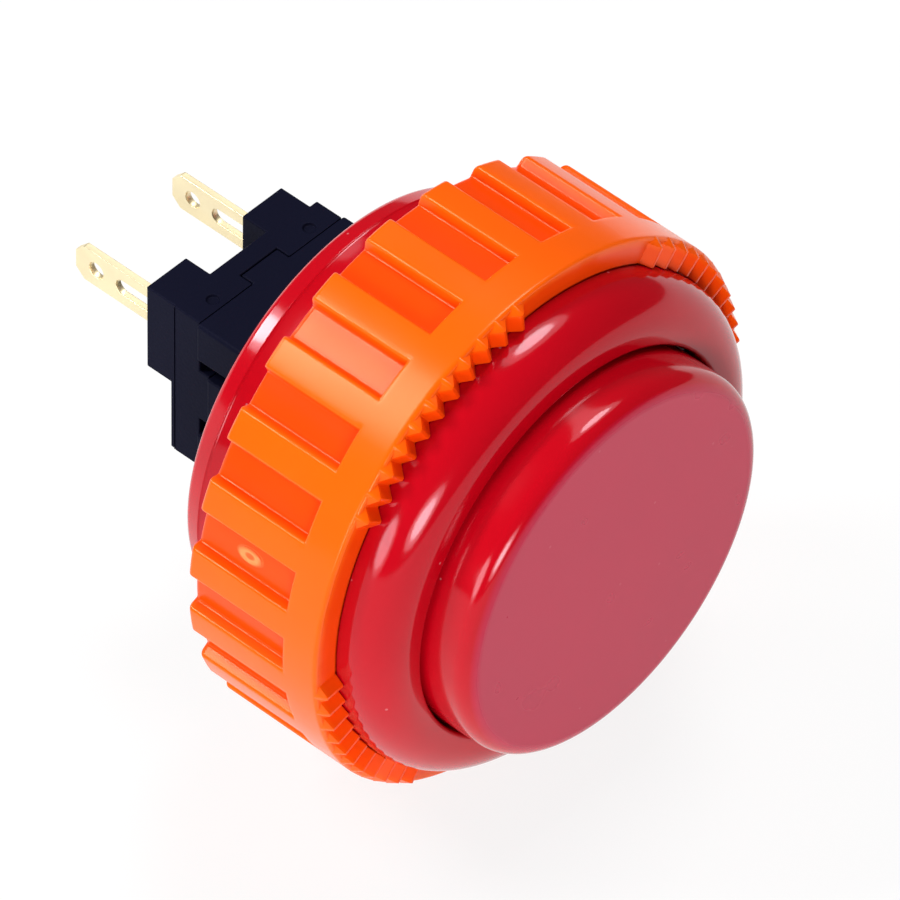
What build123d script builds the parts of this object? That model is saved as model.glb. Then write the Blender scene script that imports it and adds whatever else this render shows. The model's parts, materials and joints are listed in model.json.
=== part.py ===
from build123d import *
import math
import os

# Arcade push button that screws into a round panel hole.
# Z runs along the plunger's axis with the player's side up.
# Z = 0 is the underside of the rim, the face that seats on the panel.
# X runs from the left terminal to the right one.

# Panel and barrel
panel_hole_d = 30.0
hole_clearance = 0.15
thread_depth = 0.35
barrel_length = 14.9
barrel_wall = 1.0
collar_length = 1.5
collar_fall = 0.45
collar_step = 0.25

# Rim
rim_overhang = 2.1
rim_height = 3.8
rim_side = 0.9
rim_crown = 2.75
lip_chamfer = 0.3

# Rear wall of the housing, set back inside the barrel
rear_wall = 1.6
rear_wall_setback = 2.9

# Plunger
plunger_gap = 0.2
plunger_rise = 3.4
plunger_edge = 0.4
plunger_face = 1.8
plunger_wall = 1.3
press_travel = 2.5
skirt_clearance = 1.4
guide_ribs = 8
guide_rib_width = 1.2
guide_rib_start = 3.0
guide_clearance = 0.08
stem_r = 2.6
stem_webs = 4
stem_web_thickness = 1.0
stem_web_height = 3.0
stem_gap = 0.1

# Snap legs that hold the plunger in the housing
leg_width = 4.0
leg_thickness = 1.3
leg_clearance = 0.25
leg_ledge = 0.85
barb_reach = 0.65
barb_height = 1.0
barb_gap = 0.05

# Lock nut
nut_length = 10.3
nut_seat_gap = 0.1
nut_bore_clearance = 0.08
nut_rear_chamfer = 0.3
nut_band = 2.5
ribs = 24
rib_height = 0.8
rib_share = 0.43
rib_draft = 0.2
crown_gap = 0.15
crown_width = 1.7
crown_rise = 0.2
tooth_groups = 4
teeth_per_group = 11
tooth_pitch_angle = 4.9
tooth_setback = 0.2
tooth_height = 0.62
tooth_foot = 1.44
tooth_tip = 0.2
tooth_group_angle = 30.0
tooth_root = 0.15

# Switch case
case_width = 13.2
case_depth = 12.4
case_shift = -0.28
case_offset = 0.4
case_length = 9.5
case_edge_round = 0.3
case_wall_x = 1.1
case_wall_y = 1.0
nose_width = 11.0
nose_depth = 11.0
nose_rise = 1.2
nose_wall = 1.0
nose_clearance = 0.1
lug_width = 3.0
lug_reach = 0.5
lug_gap = 0.05
seam_tab_width = 3.2
seam_tab_length = 1.0
seam_tab_thickness = 0.9
latch_width = 4.2
latch_step = 0.85
latch_slit = 1.1
latch_length = 2.4
seam_clearance = 0.05

# Switch base
base_inset = 0.6
base_length = 2.5
base_pad = 0.35
base_pad_setback = 0.4
spigot_height = 1.2
spigot_clearance = 0.1
block_width = 3.5
block_depth = 6.8
block_length = 2.0
dimple_r = 0.4
dimple_depth = 0.15
dimple_setback = 1.7
spring_peg_r = 0.9
spring_peg_height = 1.4

# Terminals
tab_spacing = 8.6
tab_width = 2.8
tab_thickness = 0.5
tab_length = 7.4
tab_offset = -2.3
tab_tip_chamfer = 0.7
eye_r = 0.6
eye_from_tip = 1.75
slot_width = 1.2
slot_from_tip = 3.4
slot_from_block = 0.4
tab_fit = 0.03
foot_length = 2.5

# Contacts
contact_r = 0.8
fixed_contact_height = 0.4
moving_contact_height = 0.35
contact_setback = 1.3
contact_gap = 1.5
contact_closed_gap = 0.05

# Contact bridge and its spring
bridge_thickness = 0.25
bridge_width = 1.5
bridge_overhang = 0.9
bridge_corner = 0.5
contact_spring_r = 0.5
contact_spring_wire_r = 0.1
contact_spring_turns = 1.5
spring_seat_gap = 0.02

# Actuator
actuator_r = 2.4
actuator_clearance = 0.05
actuator_spare = 0.5
actuator_edge = 0.3
actuator_flange = 1.2
actuator_flange_gap = 0.05
actuator_flange_width = 6.0
actuator_flange_rear = 3.2
carriage_width = 1.8
carriage_wall = 0.5
carriage_bar = 0.75
bridge_clearance = 0.1
contact_spring_room = 1.85

# Return spring
return_spring_offset = 1.5
return_spring_r = 1.25
return_spring_wire_r = 0.16
return_spring_turns = 2.5
wire_sides = 4

# Radii that follow from the panel hole outwards and inwards
thread_crest_r = panel_hole_d / 2 - hole_clearance
barrel_r = thread_crest_r - thread_depth
bore_r = barrel_r - barrel_wall
rim_r = panel_hole_d / 2 + rim_overhang
plunger_r = bore_r - plunger_gap
leg_slot_r = bore_r - leg_ledge
leg_outer = leg_slot_r - leg_clearance
leg_inner = leg_outer - leg_thickness
crown_inner_r = rim_r + crown_gap
nut_r = crown_inner_r + crown_width
nut_bore_r = thread_crest_r + nut_bore_clearance
rib_floor_r = nut_r - rib_height

# Heights that follow along the axis
barrel_rear_z = -barrel_length
wall_rear_z = barrel_rear_z + rear_wall_setback
wall_front_z = wall_rear_z + rear_wall
nose_z = wall_front_z + nose_rise
actuator_top_z = nose_z + press_travel + actuator_spare
stem_z = actuator_top_z + stem_gap
face_z = rim_height + plunger_rise
plate_z = face_z - plunger_face
skirt_z = wall_front_z + press_travel + skirt_clearance
nut_front_z = -nut_seat_gap
nut_rear_z = nut_front_z - nut_length
crown_z = nut_front_z + crown_rise
seam_z = wall_rear_z - case_length
base_rear_z = seam_z - base_length
block_rear_z = base_rear_z - block_length
tab_tip_z = block_rear_z - tab_length
spigot_z = seam_z + spigot_height
cavity_top_z = nose_z - nose_wall
flange_top_z = cavity_top_z - actuator_flange_gap
flange_z = flange_top_z - actuator_flange
bridge_top_z = flange_z - contact_spring_room
bridge_z = bridge_top_z - bridge_thickness
moving_face_z = bridge_z - moving_contact_height
fixed_face_z = moving_face_z - contact_gap - contact_closed_gap
foot_top_z = fixed_face_z - fixed_contact_height
foot_z = foot_top_z - tab_thickness

# Places across the switch
tab_x = tab_spacing / 2
contact_x = tab_x - contact_setback
bridge_half = contact_x + bridge_overhang
nose_middle = Pos(0, case_offset, 0)
case_middle = Pos(case_shift, case_offset, 0)
base_width = case_width - 2 * base_inset
case_inner_x = case_width / 2 - case_wall_x
case_inner_y = case_depth / 2 - case_wall_y


def block(x, y, z):
    """A box between two values on each axis."""
    size = [high - low for low, high in (x, y, z)]
    middle = [(low + high) / 2 for low, high in (x, y, z)]
    return Pos(*middle) * Box(*size)


def disc(r, z_low, z_high, x=0.0, y=0.0):
    """An upright cylinder between two heights."""
    return Pos(x, y, (z_low + z_high) / 2) * Cylinder(r, z_high - z_low)


def centred(width):
    """The two ends of a width about zero."""
    return -width / 2, width / 2


def turned(*edges):
    """A solid turned about Z from an outline in radius and height."""
    return revolve(Plane.XZ * make_face(edges), Axis.Z)


def turned_line(*points):
    """A turned solid whose outline has straight sides only."""
    return turned(*Polyline(*points, close=True).edges())


def around(piece, count, start=0.0):
    """Copies of a piece evenly spaced about Z."""
    return [Rot(0, 0, start + 360 * i / count) * piece for i in range(count)]


def mirrored_x(piece):
    """The same piece on the other side of the YZ plane."""
    return mirror(piece, Plane.YZ)


def one_solid(piece):
    """The single solid of a piece that was built from several features."""
    return piece.solids()[0]


def coil(mean_r, wire_r, z_low, z_high, turns, x, y):
    """A wire spring whose end turns lie between two heights."""
    height = z_high - z_low - 2 * wire_r
    path = Pos(x, y, z_low + wire_r) * Helix(height / turns, height, mean_r)
    section = Plane(origin=path @ 0, z_dir=path % 0) * RegularPolygon(wire_r, wire_sides)
    return sweep(section, path)


def make_housing():
    crest_r = rim_r - rim_crown
    collar_z = barrel_rear_z + collar_length
    body = turned(
        Line((0, wall_rear_z), (0, wall_front_z)),
        Line((0, wall_front_z), (bore_r, wall_front_z)),
        Line((bore_r, wall_front_z), (bore_r, rim_height - lip_chamfer)),
        Line((bore_r, rim_height - lip_chamfer), (bore_r + lip_chamfer, rim_height)),
        Line((bore_r + lip_chamfer, rim_height), (crest_r, rim_height)),
        EllipticalCenterArc((crest_r, rim_side), rim_crown, rim_height - rim_side, arc_size=90),
        Line((rim_r, rim_side), (rim_r, 0)),
        Line((rim_r, 0), (barrel_r, 0)),
        Line((barrel_r, 0), (barrel_r, collar_z + collar_step)),
        Line((barrel_r, collar_z + collar_step), (thread_crest_r, collar_z)),
        Line((thread_crest_r, collar_z), (thread_crest_r - collar_fall, barrel_rear_z)),
        Line((thread_crest_r - collar_fall, barrel_rear_z), (bore_r, barrel_rear_z)),
        Line((bore_r, barrel_rear_z), (bore_r, wall_rear_z)),
        Line((bore_r, wall_rear_z), (0, wall_rear_z)),
    )
    through = (wall_rear_z - rear_wall, wall_front_z + rear_wall)
    opening = block(
        centred(nose_width + 2 * nose_clearance),
        centred(nose_depth + 2 * nose_clearance),
        through,
    )
    leg_slot = block(
        centred(leg_width + 2 * leg_clearance),
        (leg_inner - leg_clearance, leg_slot_r),
        through,
    )
    return one_solid(body - nose_middle * opening - around(leg_slot, 2))


def make_plunger():
    inner_r = plunger_r - plunger_wall
    cup = turned_line(
        (0, plate_z),
        (0, face_z),
        (plunger_r - plunger_edge, face_z),
        (plunger_r, face_z - plunger_edge),
        (plunger_r, skirt_z),
        (inner_r, skirt_z),
        (inner_r, plate_z),
    )
    rib_top_z = rim_height - guide_rib_start
    rib_r = bore_r - guide_clearance
    rib = block(
        (inner_r + plunger_wall / 2, rib_r + plunger_wall),
        centred(guide_rib_width),
        (skirt_z, rib_top_z),
    )
    rib = rib & disc(rib_r, skirt_z, rib_top_z)
    stem = disc(stem_r, stem_z, plate_z)
    web = block(
        (0, inner_r + plunger_wall / 2),
        centred(stem_web_thickness),
        (plate_z - stem_web_height, plate_z),
    )
    barb_top_z = wall_rear_z - barb_gap
    barb_low_z = barb_top_z - barb_height
    leg_side = Polyline(
        (leg_inner, plate_z),
        (leg_outer, plate_z),
        (leg_outer, barb_top_z),
        (leg_outer + barb_reach, barb_top_z),
        (leg_outer, barb_low_z),
        (leg_inner, barb_low_z),
        close=True,
    )
    leg = extrude(Plane.YZ * make_face(leg_side), leg_width / 2, both=True)
    features = around(rib, guide_ribs, 180 / guide_ribs)
    features += around(web, stem_webs, 180 / stem_webs)
    features += around(leg, 2)
    return one_solid(cup + stem + features)


def make_lock_nut():
    ring = turned_line(
        (nut_bore_r, nut_rear_z),
        (nut_bore_r, nut_front_z),
        (crown_inner_r, nut_front_z),
        (crown_inner_r, crown_z),
        (nut_r, crown_z),
        (nut_r, nut_rear_z + nut_rear_chamfer),
        (nut_r - nut_rear_chamfer, nut_rear_z),
    )
    pitch = 2 * math.pi * nut_r / ribs
    mouth = pitch * (1 - rib_share) / 2
    floor = mouth - rib_draft
    past = rib_height / 2
    pocket_outline = Polyline(
        (rib_floor_r, -floor),
        (nut_r + past, -mouth),
        (nut_r + past, mouth),
        (rib_floor_r, floor),
        close=True,
    )
    pocket = extrude(make_face(pocket_outline), nut_length)
    pocket = Pos(0, 0, nut_front_z - nut_band - nut_length) * pocket
    tooth_outline = Polyline(
        (-tooth_foot / 2, crown_z - tooth_root),
        (-tooth_foot / 2, crown_z),
        (-tooth_tip / 2, crown_z + tooth_height),
        (tooth_tip / 2, crown_z + tooth_height),
        (tooth_foot / 2, crown_z),
        (tooth_foot / 2, crown_z - tooth_root),
        close=True,
    )
    tooth_length = crown_width - 2 * tooth_setback
    tooth = extrude(Plane.YZ * make_face(tooth_outline), tooth_length)
    tooth = Pos(crown_inner_r + tooth_setback, 0, 0) * tooth
    teeth = []
    for group in range(tooth_groups):
        middle = tooth_group_angle + 360 * group / tooth_groups
        for i in range(teeth_per_group):
            turn = middle + tooth_pitch_angle * (i - (teeth_per_group - 1) / 2)
            teeth.append(Rot(0, 0, turn) * tooth)
    return one_solid(ring - around(pocket, ribs) + teeth)


def make_switch_cover():
    case = block(centred(case_width), centred(case_depth), (seam_z, wall_rear_z))
    case = fillet(case.edges().filter_by(Axis.Z), case_edge_round)
    nose = block(centred(nose_width), centred(nose_depth), (wall_rear_z, nose_z))
    nose = chamfer(nose.edges().group_by(Axis.Z)[-1], case_edge_round)
    lug_z = wall_front_z + lug_gap
    lug_side = Polyline(
        (nose_depth / 2 - nose_wall, lug_z),
        (nose_depth / 2 + lug_reach, lug_z),
        (nose_depth / 2, nose_z - case_edge_round),
        (nose_depth / 2 - nose_wall, nose_z - case_edge_round),
        close=True,
    )
    lug = extrude(Plane.YZ * make_face(lug_side), lug_width / 2, both=True)
    tab = block(
        centred(seam_tab_width),
        (case_depth / 2 - seam_tab_thickness, case_depth / 2),
        (seam_z - seam_tab_length, seam_z + seam_tab_length),
    )
    wide_top_z = wall_rear_z - nose_wall
    wide_room = block(centred(2 * case_inner_x), centred(2 * case_inner_y), (seam_z, wide_top_z))
    nose_room = block(
        centred(nose_width - 2 * nose_wall),
        centred(nose_depth - 2 * nose_wall),
        (wide_top_z, cavity_top_z),
    )
    latch_top_z = seam_z + latch_length
    latch_room = block(
        centred(2 * case_width),
        centred(latch_width + 2 * latch_slit),
        (seam_z, latch_top_z),
    )
    latch_arm = block(
        centred(2 * case_width),
        centred(latch_width),
        (seam_z + latch_step, latch_top_z),
    )
    shell = case_middle * (case + around(tab, 2) - (latch_room - latch_arm))
    shell = shell + nose_middle * (nose + around(lug, 2))
    bore = disc(actuator_r + actuator_clearance, cavity_top_z, nose_z)
    return one_solid(shell - case_middle * wide_room - nose_middle * nose_room - bore)


def make_switch_base():
    plate = block(centred(base_width), centred(case_depth), (base_rear_z, seam_z))
    pad_z = (base_rear_z + base_pad_setback, seam_z)
    pad = block(centred(base_width + 2 * base_pad), centred(case_depth), pad_z)
    spigot_x = 2 * (case_inner_x - spigot_clearance)
    spigot_y = 2 * (case_inner_y - spigot_clearance)
    spigot = block(centred(spigot_x), centred(spigot_y), (seam_z, spigot_z))
    latch_step_up = block(
        centred(base_width + 2 * base_pad),
        centred(latch_width - 2 * seam_clearance),
        (seam_z, seam_z + latch_step - seam_clearance),
    )
    terminal_block = block(
        (base_width / 2 - block_width, base_width / 2),
        (-case_depth / 2, block_depth - case_depth / 2),
        (block_rear_z, base_rear_z),
    )
    peg = disc(spring_peg_r, spigot_z, spigot_z + spring_peg_height, y=return_spring_offset)
    tab_notch = block(
        centred(seam_tab_width + 2 * seam_clearance),
        (case_depth / 2 - seam_tab_thickness - seam_clearance, case_depth),
        (seam_z - seam_tab_length - seam_clearance, seam_z),
    )
    rear = nose_middle * (plate + terminal_block + mirrored_x(terminal_block))
    front = case_middle * (pad + spigot + latch_step_up)
    slot = block(
        (tab_x - tab_thickness / 2 - tab_fit, tab_x + tab_thickness / 2 + tab_fit),
        (tab_offset - tab_width / 2 - tab_fit, tab_offset + tab_width / 2 + tab_fit),
        (block_rear_z - block_length, spigot_z + spigot_height),
    )
    dimple = Rot(90, 0, 0) * Cylinder(dimple_r, 2 * dimple_depth)
    dimple = Pos(tab_x, -case_depth / 2, base_rear_z + dimple_setback) * dimple
    marks = around(tab_notch, 2) + [dimple, mirrored_x(dimple)]
    base = rear + front + peg - [case_middle * mark for mark in marks]
    return one_solid(base - [slot, mirrored_x(slot)])


def make_terminal():
    blade_outline = Polyline(
        (tab_offset - tab_width / 2, foot_top_z),
        (tab_offset - tab_width / 2, tab_tip_z + tab_tip_chamfer),
        (tab_offset - tab_width / 2 + tab_tip_chamfer, tab_tip_z),
        (tab_offset + tab_width / 2 - tab_tip_chamfer, tab_tip_z),
        (tab_offset + tab_width / 2, tab_tip_z + tab_tip_chamfer),
        (tab_offset + tab_width / 2, foot_top_z),
        close=True,
    )
    blade = extrude(Plane.YZ * make_face(blade_outline), tab_thickness / 2, both=True)
    slot_low_z = tab_tip_z + slot_from_tip
    slot_high_z = block_rear_z - slot_from_block
    across = Plane.YZ * Pos(tab_offset, 0)
    slot_place = Pos(0, (slot_low_z + slot_high_z) / 2) * Rot(0, 0, 90)
    slot_outline = slot_place * SlotOverall(slot_high_z - slot_low_z, slot_width)
    slot = extrude(across * slot_outline, tab_thickness, both=True)
    eye = extrude(across * Pos(0, tab_tip_z + eye_from_tip) * Circle(eye_r), tab_thickness, both=True)
    blade = Pos(tab_x, 0, 0) * (blade - slot - eye)
    foot = block(
        (tab_x - foot_length, tab_x),
        (tab_offset - tab_width / 2, tab_offset + tab_width / 2),
        (foot_z, foot_top_z),
    )
    return one_solid(blade + foot)


def make_fixed_contact():
    return disc(contact_r, foot_top_z, fixed_face_z, contact_x, tab_offset)


def make_moving_contact():
    return disc(contact_r, moving_face_z, bridge_z, contact_x, tab_offset)


def make_contact_bridge():
    strip = block(
        centred(2 * bridge_half),
        (tab_offset - bridge_width / 2, tab_offset + bridge_width / 2),
        (bridge_z, bridge_top_z),
    )
    return chamfer(strip.edges().filter_by(Axis.Z), bridge_corner)


def make_switch_actuator():
    pin = disc(actuator_r, flange_z, actuator_top_z)
    pin = chamfer(pin.edges().group_by(Axis.Z)[-1], actuator_edge)
    room_half = bridge_width / 2 + bridge_clearance
    carriage_half = room_half + carriage_wall
    flange = block(
        centred(actuator_flange_width),
        (tab_offset - carriage_half, actuator_flange_rear),
        (flange_z, flange_top_z),
    )
    bar_top_z = bridge_z - bridge_clearance
    carriage = block(
        centred(carriage_width),
        (tab_offset - carriage_half, tab_offset + carriage_half),
        (bar_top_z - carriage_bar, flange_z),
    )
    room = block(
        centred(2 * carriage_width),
        (tab_offset - room_half, tab_offset + room_half),
        (bar_top_z, flange_z),
    )
    return one_solid(pin + flange + carriage - room)


def make_return_spring():
    return coil(
        return_spring_r,
        return_spring_wire_r,
        spigot_z + spring_seat_gap,
        flange_z - spring_seat_gap,
        return_spring_turns,
        0,
        return_spring_offset,
    )


def make_contact_spring():
    return coil(
        contact_spring_r,
        contact_spring_wire_r,
        bridge_top_z + spring_seat_gap,
        flange_z - spring_seat_gap,
        contact_spring_turns,
        0,
        tab_offset,
    )


terminal = make_terminal()
fixed_contact = make_fixed_contact()
moving_contact = make_moving_contact()

pieces = {
    "housing": make_housing(),
    "plunger": make_plunger(),
    "lock_nut": make_lock_nut(),
    "switch_cover": make_switch_cover(),
    "switch_base": make_switch_base(),
    "switch_actuator": make_switch_actuator(),
    "return_spring": make_return_spring(),
    "contact_bridge": make_contact_bridge(),
    "contact_spring": make_contact_spring(),
    "terminal_right": terminal,
    "terminal_left": mirrored_x(terminal),
    "fixed_contact_right": fixed_contact,
    "fixed_contact_left": mirrored_x(fixed_contact),
    "moving_contact_right": moving_contact,
    "moving_contact_left": mirrored_x(moving_contact),
}

os.makedirs("parts", exist_ok=True)
for node, piece in pieces.items():
    export_step(piece, f"parts/{node}.step")
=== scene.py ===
"""Looks of a screw-in arcade push button: moulded rounds, threads, finishes, floor, lights and camera."""

import json
import math

import bmesh
import bpy
from bpy.props import FloatProperty, FloatVectorProperty, IntProperty, PointerProperty
from mathutils import Matrix, Vector


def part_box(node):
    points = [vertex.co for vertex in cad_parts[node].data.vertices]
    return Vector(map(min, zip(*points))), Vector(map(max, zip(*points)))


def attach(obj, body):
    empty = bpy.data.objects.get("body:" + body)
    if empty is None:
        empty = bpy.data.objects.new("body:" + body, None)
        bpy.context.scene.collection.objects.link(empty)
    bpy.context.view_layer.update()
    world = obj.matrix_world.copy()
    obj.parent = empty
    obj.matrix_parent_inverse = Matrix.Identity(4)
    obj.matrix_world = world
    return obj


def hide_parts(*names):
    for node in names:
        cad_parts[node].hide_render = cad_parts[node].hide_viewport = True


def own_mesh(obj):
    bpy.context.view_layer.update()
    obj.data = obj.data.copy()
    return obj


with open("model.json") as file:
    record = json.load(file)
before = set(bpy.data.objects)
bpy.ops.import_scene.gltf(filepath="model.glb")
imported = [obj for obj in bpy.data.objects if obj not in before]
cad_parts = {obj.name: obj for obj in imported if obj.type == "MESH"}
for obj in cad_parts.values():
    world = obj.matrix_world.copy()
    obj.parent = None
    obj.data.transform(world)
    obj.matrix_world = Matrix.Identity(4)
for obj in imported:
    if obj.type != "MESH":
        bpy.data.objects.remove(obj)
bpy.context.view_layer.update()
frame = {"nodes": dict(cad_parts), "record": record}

bl_info = {
    "name": "Arcade push button",
    "version": (1, 0, 0),
    "blender": (4, 5, 0),
    "location": "View3D > Sidebar > Push button",
    "description": "Builds the looks of an arcade push button around its packed frame",
    "category": "Object",
}

MM = 0.001
IMAGE_SIDE = 900
SENSOR_WIDTH = 36.0
TURN_STEPS = 160
JOIN_DISTANCE = 1e-7
SHARP_ANGLE = math.radians(35.0)
NOISE_LOW, NOISE_HIGH = 0.2, 0.8
EVEN = (1.0, 1.0, 1.0)
FLOOR_UP = Vector((0, -1, 0))
RED_SHINE = {"Specular_IOR_Level": 0.35, "Specular_Tint": (1.0, 0.85, 0.95, 1.0)}
ORANGE_SHINE = {"Specular_IOR_Level": 0.35, "Specular_Tint": (1.0, 0.65, 0.4, 1.0)}

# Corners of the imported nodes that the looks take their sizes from
housing_low, housing_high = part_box("housing")
plunger_low, plunger_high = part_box("plunger")
nut_low, nut_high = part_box("lock_nut")
return_low, return_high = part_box("return_spring")
contact_low, contact_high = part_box("contact_spring")
made_finishes = {}


def length(name, description, default):
    """A size in metres that a user may change."""
    return FloatProperty(name=name, description=description, default=default, unit="LENGTH", precision=5)


def angle(name, description, default):
    """An angle whose default is given in degrees."""
    return FloatProperty(name=name, description=description, default=math.radians(default), unit="ROTATION")


def share(name, description, default):
    """A number between nothing and all."""
    return FloatProperty(
        name=name, description=description, default=default, subtype="FACTOR", min=0.0, max=1.0
    )


def plain(name, description, default):
    """A number without a unit."""
    return FloatProperty(name=name, description=description, default=default)


def number(name, description, default, least):
    """A whole number of like things."""
    return IntProperty(name=name, description=description, default=default, min=least)


def colour(name, description, default):
    """A linear colour that a finish starts from."""
    return FloatVectorProperty(
        name=name, description=description, default=default, subtype="COLOR", min=0.0, max=1.0
    )


class HousingSizes(bpy.types.PropertyGroup):
    """Outline of the turned housing and its thread."""

    rim_radius: length("Rim radius", "Outer radius of the rim", housing_high.x)
    rim_height: length("Rim height", "Height of the crest over the panel", housing_high.z)
    rim_side: length("Rim side", "Straight side under the crown", 0.9 * MM)
    rim_crown: length("Rim crown", "Width of the rounded crown", 2.75 * MM)
    rim_foot_round: length("Rim foot round", "Round between the side and the seat", 0.2 * MM)
    lip_round: length("Lip round", "Round at the mouth of the bore", 0.35 * MM)
    bore_radius: length("Bore radius", "Radius of the plunger's bore", 13.5 * MM)
    barrel_radius: length("Barrel radius", "Radius at the thread's root", 14.5 * MM)
    crest_radius: length("Crest radius", "Radius at the thread's crest", 14.85 * MM)
    band_radius: length("Band radius", "Radius of the plain band before the lead-in", 14.76 * MM)
    band_fall: length("Band fall", "Taper of the plain band towards the thread", 0.02 * MM)
    barrel_end: length("Barrel end", "Height of the barrel's rear edge", housing_low.z)
    collar_length: length("Collar length", "Length of the plain lead-in at the rear", 1.5 * MM)
    collar_fall: length("Collar fall", "Taper of the lead-in", 0.45 * MM)
    collar_step: length("Collar step", "Length of the step up to the lead-in", 0.15 * MM)
    collar_round: length("Collar round", "Round of the lead-in's leading edge", 0.08 * MM)
    rear_round: length("Rear round", "Round of the barrel's rear edge", 0.8 * MM)
    wall_rear: length("Rear wall", "Height of the rear wall's outside", -12.0 * MM)
    wall_thickness: length("Wall thickness", "Thickness of the rear wall", 1.6 * MM)
    opening: length("Opening", "Side of the square opening for the switch", 11.2 * MM)
    opening_offset: length("Opening offset", "Shift of the opening along Y", 0.4 * MM)
    leg_slot_width: length("Leg slot width", "Width of the snap legs' slots", 4.5 * MM)
    leg_slot_inner: length("Leg slot inner edge", "Distance of a slot from the axis", 10.85 * MM)
    leg_slot_outer: length("Leg slot outer edge", "Far edge of a slot from the axis", 12.65 * MM)
    thread_pitch: length("Thread pitch", "Rise of the thread in one turn", 1.6 * MM)
    thread_start: length("Thread start", "Distance of the thread from the rim's seat", 1.0 * MM)
    thread_relief: length("Thread relief", "Plain stretch between thread and lead-in", 1.5 * MM)
    thread_foot: length("Thread foot", "Width of the thread at its root", 1.1 * MM)
    thread_tip: length("Thread tip", "Width of the thread at its crest", 0.3 * MM)


class PlungerSizes(bpy.types.PropertyGroup):
    """Outline of the plunger and of what hangs under its face."""

    radius: length("Radius", "Radius of the plunger's side", 13.3 * MM)
    face_height: length("Face height", "Height of the pressed face", plunger_high.z)
    edge_round: length("Edge round", "Round between face and side", 1.2 * MM)
    side_start: length("Side start", "Height at which the side begins to draw in", 3.5 * MM)
    side_draw: length("Side draw", "How far the side draws in towards the face", 0.05 * MM)
    face_thickness: length("Face thickness", "Thickness of the face", 1.8 * MM)
    wall: length("Wall", "Thickness of the skirt", 1.3 * MM)
    skirt_end: length("Skirt end", "Height of the skirt's lower edge", -6.5 * MM)
    rib_radius: length("Guide rib radius", "Reach of the guide ribs", 13.42 * MM)
    rib_width: length("Guide rib width", "Width of a guide rib", 1.2 * MM)
    rib_top: length("Guide rib top", "Height at which the guide ribs start", 0.8 * MM)
    stem_radius: length("Stem radius", "Radius of the stem that meets the switch", 2.6 * MM)
    stem_end: length("Stem end", "Height of the stem's tip", -6.1 * MM)
    web_width: length("Web width", "Thickness of the webs beside the stem", 1.0 * MM)
    web_height: length("Web height", "Height of the webs under the face", 3.0 * MM)
    leg_width: length("Leg width", "Width of a snap leg", 4.0 * MM)
    leg_inner: length("Leg inner face", "Distance of a leg from the axis", 11.1 * MM)
    leg_outer: length("Leg outer face", "Far face of a leg from the axis", 12.4 * MM)
    leg_end: length("Leg end", "Height of the legs' tips", plunger_low.z)
    barb_reach: length("Barb reach", "How far a barb stands out", 0.65 * MM)
    barb_height: length("Barb height", "Height of a barb", 1.0 * MM)


class NutSizes(bpy.types.PropertyGroup):
    """Outline of the lock nut, its ribs and its crown of teeth."""

    radius: length("Radius", "Radius over the ribs", nut_high.x)
    bore_radius: length("Bore radius", "Radius of the nut's bore", 14.93 * MM)
    front: length("Front", "Height of the front face", -0.1 * MM)
    rear: length("Rear", "Height of the rear face", nut_low.z)
    crown: length("Crown", "Height of the raised ring that carries the teeth", 0.1 * MM)
    crown_radius: length("Crown radius", "Inner radius of the raised ring", 17.12 * MM)
    crown_round: length("Crown round", "Round of the ring's inner edge", 0.08 * MM)
    front_round: length("Front round", "Round of the ring's outer edge", 0.25 * MM)
    rear_round: length("Rear round", "Round of the ribs' rear ends", 0.35 * MM)
    bore_chamfer: length("Bore chamfer", "Chamfer at the bore's ends", 0.25 * MM)
    band: length("Band", "Width of the plain band behind the front face", 2.5 * MM)
    ribs: number("Ribs", "Grip ribs round the nut", 24, 3)
    rib_share: share("Rib share", "Share of the pitch that a rib takes", 0.43)
    rib_height: length("Rib height", "Depth of the pockets", 0.8 * MM)
    rib_draft: length("Rib draft", "Slope of the pockets' walls", 0.2 * MM)
    rib_round: length("Rib round", "Round of the ribs' edges", 0.22 * MM)
    pocket_round: length("Pocket round", "Round at the pockets' feet", 0.2 * MM)
    tooth_groups: number("Tooth groups", "Groups of teeth", 4, 1)
    teeth_per_group: number("Teeth", "Teeth in a group", 11, 1)
    tooth_pitch: angle("Tooth pitch", "Turn from one tooth to the next", 4.9)
    tooth_turn: angle("Tooth turn", "Place of the first group round the axis", 30.0)
    tooth_inner: length("Tooth inner radius", "Radius at the teeth's inner ends", 17.15 * MM)
    tooth_outer: length("Tooth outer radius", "Radius at the teeth's outer ends", 18.93 * MM)
    tooth_top: length("Tooth top", "Height of the teeth's tips", nut_high.z)
    tooth_root: length("Tooth root", "Depth of the teeth under the ring", 0.15 * MM)
    tooth_foot: length("Tooth foot", "Width of a tooth at its foot", 1.44 * MM)
    tooth_tip: length("Tooth tip", "Width of a tooth at its tip", 0.2 * MM)
    tooth_round: length("Tooth round", "Round of a tooth's tip", 0.12 * MM)
    tooth_end_chamfer: length("Tooth end chamfer", "Chamfer at a tooth's inner end", 0.05 * MM)
    tooth_slope: length("Tooth slope", "Length of a tooth's sloping outer end", 0.38 * MM)
    gate_radius: length("Gate radius", "Half the width of the moulding gate's mark", 0.5 * MM)
    gate_stretch: plain("Gate stretch", "Length of the gate's mark to its width", 1.9)
    gate_height: length("Gate height", "How far the gate's mark stands out", 0.14 * MM)
    gate_pocket: IntProperty(name="Gate pocket", description="Pocket that holds the gate's mark", default=-1)


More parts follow.
